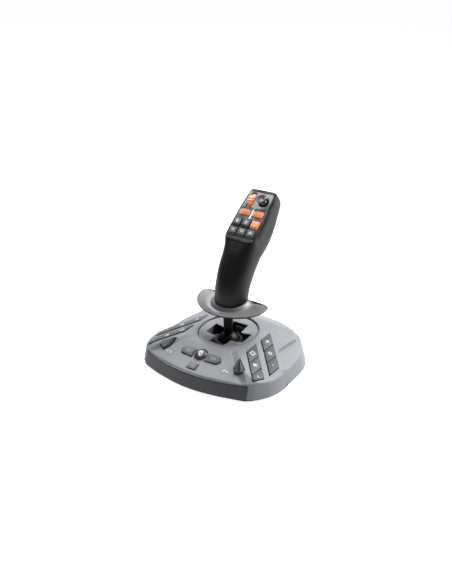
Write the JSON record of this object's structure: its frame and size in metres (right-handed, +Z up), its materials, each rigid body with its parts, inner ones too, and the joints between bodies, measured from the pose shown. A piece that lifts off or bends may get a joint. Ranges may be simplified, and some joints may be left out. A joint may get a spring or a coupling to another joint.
{
  "type": "flight joystick",
  "caption": "Desktop joystick: leaning grip with thumb panel and hand rest on a sprung two-axis gimbal, in a low grey console base with two sloping key pads.",
  "frame": {"origin": "point on the desk plane straight below the crossing of the two gimbal axes", "axes": "+Z up, -Y towards the user, +X to the user's right, stick upright at rest"},
  "size_m": [0.2088, 0.1956, 0.2079],
  "materials": {
    "base_lower": "satin",
    "base_upper": "fine spark-eroded texture",
    "front_fascia": "satin",
    "well_plate": "fine spark-eroded texture",
    "gimbal_housing": "moulded",
    "main_pcb": "solder mask",
    "sensor_pcb": "solder mask",
    "deck_pcb": "solder mask",
    "wing_pcb_l": "solder mask",
    "wing_pcb_r": "solder mask",
    "weight_plate": "zinc plated",
    "rubber_feet": "matt",
    "case_screws": "zinc plated",
    "cable_gland": "matt",
    "gimbal_yoke": "moulded",
    "stick_shaft": "satin",
    "stick_boot": "satin",
    "spring_cup": "satin",
    "centering_spring": "zinc plated",
    "shaft_magnet": "zinc plated",
    "grip_left": "soft touch coating",
    "grip_right": "soft touch coating",
    "grip_panel": "satin",
    "hand_rest": "satin",
    "twist_collar": "satin",
    "grip_pcb": "solder mask",
    "grip_screws": "zinc plated",
    "trigger": "satin",
    "rocker_scroll": "satin",
    "rocker_left": "satin",
    "rocker_right": "satin",
    "ministick_cradle": "satin",
    "ministick_cap": "satin",
    "thumb_square": "satin",
    "thumb_key_1": "satin",
    "thumb_key_2": "satin",
    "thumb_key_3": "satin",
    "thumb_key_4": "satin",
    "thumb_key_5": "satin",
    "deck_round": "polished",
    "deck_penta_l": "satin",
    "deck_penta_r": "satin",
    "deck_rect": "satin",
    "paddle_l": "satin",
    "paddle_r": "satin",
    "wing_key_l1": "satin",
    "wing_key_l2": "satin",
    "wing_key_l3": "satin",
    "wing_key_l4": "satin",
    "wing_key_l5": "satin",
    "wing_key_l6": "satin",
    "wing_key_r1": "satin",
    "wing_key_r2": "satin",
    "wing_key_r3": "satin",
    "wing_key_r4": "satin",
    "wing_key_r5": "satin",
    "wing_key_r6": "satin"
  },
  "bodies": {
    "base": {"base_lower": "base_lower", "base_upper": "base_upper", "front_fascia": "front_fascia", "well_plate": "well_plate", "gimbal_housing": "gimbal_housing", "main_pcb": "main_pcb", "sensor_pcb": "sensor_pcb", "deck_pcb": "deck_pcb", "wing_pcb_l": "wing_pcb_l", "wing_pcb_r": "wing_pcb_r", "weight_plate": "weight_plate", "rubber_feet": "rubber_feet", "case_screws": "case_screws", "cable_gland": "cable_gland"},
    "yoke": {"gimbal_yoke": "gimbal_yoke"},
    "stick": {"stick_shaft": "stick_shaft", "stick_boot": "stick_boot", "spring_cup": "spring_cup", "centering_spring": "centering_spring", "shaft_magnet": "shaft_magnet"},
    "grip": {"grip_left": "grip_left", "grip_right": "grip_right", "grip_panel": "grip_panel", "hand_rest": "hand_rest", "twist_collar": "twist_collar", "grip_pcb": "grip_pcb", "grip_screws": "grip_screws"},
    "trigger": {"trigger": "trigger"},
    "rocker_scroll": {"rocker_scroll": "rocker_scroll"},
    "rocker_left": {"rocker_left": "rocker_left"},
    "rocker_right": {"rocker_right": "rocker_right"},
    "ministick_cradle": {"ministick_cradle": "ministick_cradle"},
    "ministick_cap": {"ministick_cap": "ministick_cap"},
    "thumb_square": {"thumb_square": "thumb_square"},
    "thumb_key_1": {"thumb_key_1": "thumb_key_1"},
    "thumb_key_2": {"thumb_key_2": "thumb_key_2"},
    "thumb_key_3": {"thumb_key_3": "thumb_key_3"},
    "thumb_key_4": {"thumb_key_4": "thumb_key_4"},
    "thumb_key_5": {"thumb_key_5": "thumb_key_5"},
    "deck_round": {"deck_round": "deck_round"},
    "deck_penta_l": {"deck_penta_l": "deck_penta_l"},
    "deck_penta_r": {"deck_penta_r": "deck_penta_r"},
    "deck_rect": {"deck_rect": "deck_rect"},
    "paddle_l": {"paddle_l": "paddle_l"},
    "paddle_r": {"paddle_r": "paddle_r"},
    "wing_key_l1": {"wing_key_l1": "wing_key_l1"},
    "wing_key_l2": {"wing_key_l2": "wing_key_l2"},
    "wing_key_l3": {"wing_key_l3": "wing_key_l3"},
    "wing_key_l4": {"wing_key_l4": "wing_key_l4"},
    "wing_key_l5": {"wing_key_l5": "wing_key_l5"},
    "wing_key_l6": {"wing_key_l6": "wing_key_l6"},
    "wing_key_r1": {"wing_key_r1": "wing_key_r1"},
    "wing_key_r2": {"wing_key_r2": "wing_key_r2"},
    "wing_key_r3": {"wing_key_r3": "wing_key_r3"},
    "wing_key_r4": {"wing_key_r4": "wing_key_r4"},
    "wing_key_r5": {"wing_key_r5": "wing_key_r5"},
    "wing_key_r6": {"wing_key_r6": "wing_key_r6"}
  },
  "joints": [
    {"name": "stick_roll", "type": "hinge", "parent": "base", "child": "yoke", "pos_m": [0, 0, 0.025], "axis": [0, 1, 0], "range_deg": [-17, 17], "stiffness_Nm_per_rad": 1.2},
    {"name": "stick_pitch", "type": "hinge", "parent": "yoke", "child": "stick", "pos_m": [0, 0, 0.025], "axis": [1, 0, 0], "range_deg": [-17, 17], "stiffness_Nm_per_rad": 1.2},
    {"name": "grip_twist", "type": "hinge", "parent": "stick", "child": "grip", "pos_m": [0, 0, 0.08], "axis": [0, 0, 1], "range_deg": [-12, 12], "stiffness_Nm_per_rad": 0.5},
    {"name": "trigger_pull", "type": "hinge", "parent": "grip", "child": "trigger", "pos_m": [0, 0.08919, 0.16875], "axis": [-1, 0, 0], "range_deg": [0, 7], "stiffness_Nm_per_rad": 0.3},
    {"name": "scroll_rock", "type": "hinge", "parent": "grip", "child": "rocker_scroll", "pos_m": [-0.0106, 0.07533, 0.19302], "axis": [1, 0, 0], "range_deg": [-7, 7], "stiffness_Nm_per_rad": 0.06},
    {"name": "rocker_left_rock", "type": "hinge", "parent": "grip", "child": "rocker_left", "pos_m": [-0.0102, 0.05974, 0.18049], "axis": [0, 0.7793, 0.6266], "range_deg": [-7, 7], "stiffness_Nm_per_rad": 0.06},
    {"name": "rocker_right_rock", "type": "hinge", "parent": "grip", "child": "rocker_right", "pos_m": [0.0102, 0.05974, 0.18049], "axis": [0, 0.7793, 0.6266], "range_deg": [-7, 7], "stiffness_Nm_per_rad": 0.06},
    {"name": "ministick_fore_aft", "type": "hinge", "parent": "grip", "child": "ministick_cradle", "pos_m": [0.0086, 0.07571, 0.19127], "axis": [1, 0, 0], "range_deg": [-14, 14], "stiffness_Nm_per_rad": 0.05},
    {"name": "ministick_side", "type": "hinge", "parent": "ministick_cradle", "child": "ministick_cap", "pos_m": [0.0086, 0.07571, 0.19127], "axis": [0, 0.7793, 0.6266], "range_deg": [-14, 14], "stiffness_Nm_per_rad": 0.05},
    {"name": "thumb_square_press", "type": "slide", "parent": "grip", "child": "thumb_square", "axis": [0, 0.6266, -0.7793], "range_m": [0, 0.0012], "stiffness_N_per_m": 600},
    {"name": "thumb_key_1_press", "type": "slide", "parent": "grip", "child": "thumb_key_1", "axis": [0, 0.6266, -0.7793], "range_m": [0, 0.0012], "stiffness_N_per_m": 600},
    {"name": "thumb_key_2_press", "type": "slide", "parent": "grip", "child": "thumb_key_2", "axis": [0, 0.6266, -0.7793], "range_m": [0, 0.0012], "stiffness_N_per_m": 600},
    {"name": "thumb_key_3_press", "type": "slide", "parent": "grip", "child": "thumb_key_3", "axis": [0, 0.6266, -0.7793], "range_m": [0, 0.0012], "stiffness_N_per_m": 600},
    {"name": "thumb_key_4_press", "type": "slide", "parent": "grip", "child": "thumb_key_4", "axis": [0, 0.6266, -0.7793], "range_m": [0, 0.0012], "stiffness_N_per_m": 600},
    {"name": "thumb_key_5_press", "type": "slide", "parent": "grip", "child": "thumb_key_5", "axis": [0, 0.6266, -0.7793], "range_m": [0, 0.0012], "stiffness_N_per_m": 600},
    {"name": "deck_round_press", "type": "slide", "parent": "base", "child": "deck_round", "axis": [0, 0.3794, -0.9253], "range_m": [0, 0.0012], "stiffness_N_per_m": 600},
    {"name": "deck_penta_l_press", "type": "slide", "parent": "base", "child": "deck_penta_l", "axis": [0, 0.3794, -0.9253], "range_m": [0, 0.0012], "stiffness_N_per_m": 600},
    {"name": "deck_penta_r_press", "type": "slide", "parent": "base", "child": "deck_penta_r", "axis": [0, 0.3794, -0.9253], "range_m": [0, 0.0012], "stiffness_N_per_m": 600},
    {"name": "deck_rect_press", "type": "slide", "parent": "base", "child": "deck_rect", "axis": [0, 0.3794, -0.9253], "range_m": [0, 0.0012], "stiffness_N_per_m": 600},
    {"name": "paddle_l_rock", "type": "hinge", "parent": "base", "child": "paddle_l", "pos_m": [-0.058, -0.05948, 0.02241], "axis": [1, 0, 0], "range_deg": [-4, 4], "stiffness_Nm_per_rad": 0.2},
    {"name": "paddle_r_rock", "type": "hinge", "parent": "base", "child": "paddle_r", "pos_m": [0.058, -0.05948, 0.02241], "axis": [1, 0, 0], "range_deg": [-4, 4], "stiffness_Nm_per_rad": 0.2},
    {"name": "wing_key_l1_press", "type": "slide", "parent": "base", "child": "wing_key_l1", "axis": [0.3174, 0.0379, -0.9475], "range_m": [0, 0.0012], "stiffness_N_per_m": 600},
    {"name": "wing_key_l2_press", "type": "slide", "parent": "base", "child": "wing_key_l2", "axis": [0.3174, 0.0379, -0.9475], "range_m": [0, 0.0012], "stiffness_N_per_m": 600},
    {"name": "wing_key_l3_press", "type": "slide", "parent": "base", "child": "wing_key_l3", "axis": [0.3174, 0.0379, -0.9475], "range_m": [0, 0.0012], "stiffness_N_per_m": 600},
    {"name": "wing_key_l4_press", "type": "slide", "parent": "base", "child": "wing_key_l4", "axis": [0.3174, 0.0379, -0.9475], "range_m": [0, 0.0012], "stiffness_N_per_m": 600},
    {"name": "wing_key_l5_press", "type": "slide", "parent": "base", "child": "wing_key_l5", "axis": [0.3174, 0.0379, -0.9475], "range_m": [0, 0.0012], "stiffness_N_per_m": 600},
    {"name": "wing_key_l6_press", "type": "slide", "parent": "base", "child": "wing_key_l6", "axis": [0.3174, 0.0379, -0.9475], "range_m": [0, 0.0012], "stiffness_N_per_m": 600},
    {"name": "wing_key_r1_press", "type": "slide", "parent": "base", "child": "wing_key_r1", "axis": [-0.3174, 0.0379, -0.9475], "range_m": [0, 0.0012], "stiffness_N_per_m": 600},
    {"name": "wing_key_r2_press", "type": "slide", "parent": "base", "child": "wing_key_r2", "axis": [-0.3174, 0.0379, -0.9475], "range_m": [0, 0.0012], "stiffness_N_per_m": 600},
    {"name": "wing_key_r3_press", "type": "slide", "parent": "base", "child": "wing_key_r3", "axis": [-0.3174, 0.0379, -0.9475], "range_m": [0, 0.0012], "stiffness_N_per_m": 600},
    {"name": "wing_key_r4_press", "type": "slide", "parent": "base", "child": "wing_key_r4", "axis": [-0.3174, 0.0379, -0.9475], "range_m": [0, 0.0012], "stiffness_N_per_m": 600},
    {"name": "wing_key_r5_press", "type": "slide", "parent": "base", "child": "wing_key_r5", "axis": [-0.3174, 0.0379, -0.9475], "range_m": [0, 0.0012], "stiffness_N_per_m": 600},
    {"name": "wing_key_r6_press", "type": "slide", "parent": "base", "child": "wing_key_r6", "axis": [-0.3174, 0.0379, -0.9475], "range_m": [0, 0.0012], "stiffness_N_per_m": 600}
  ]
}
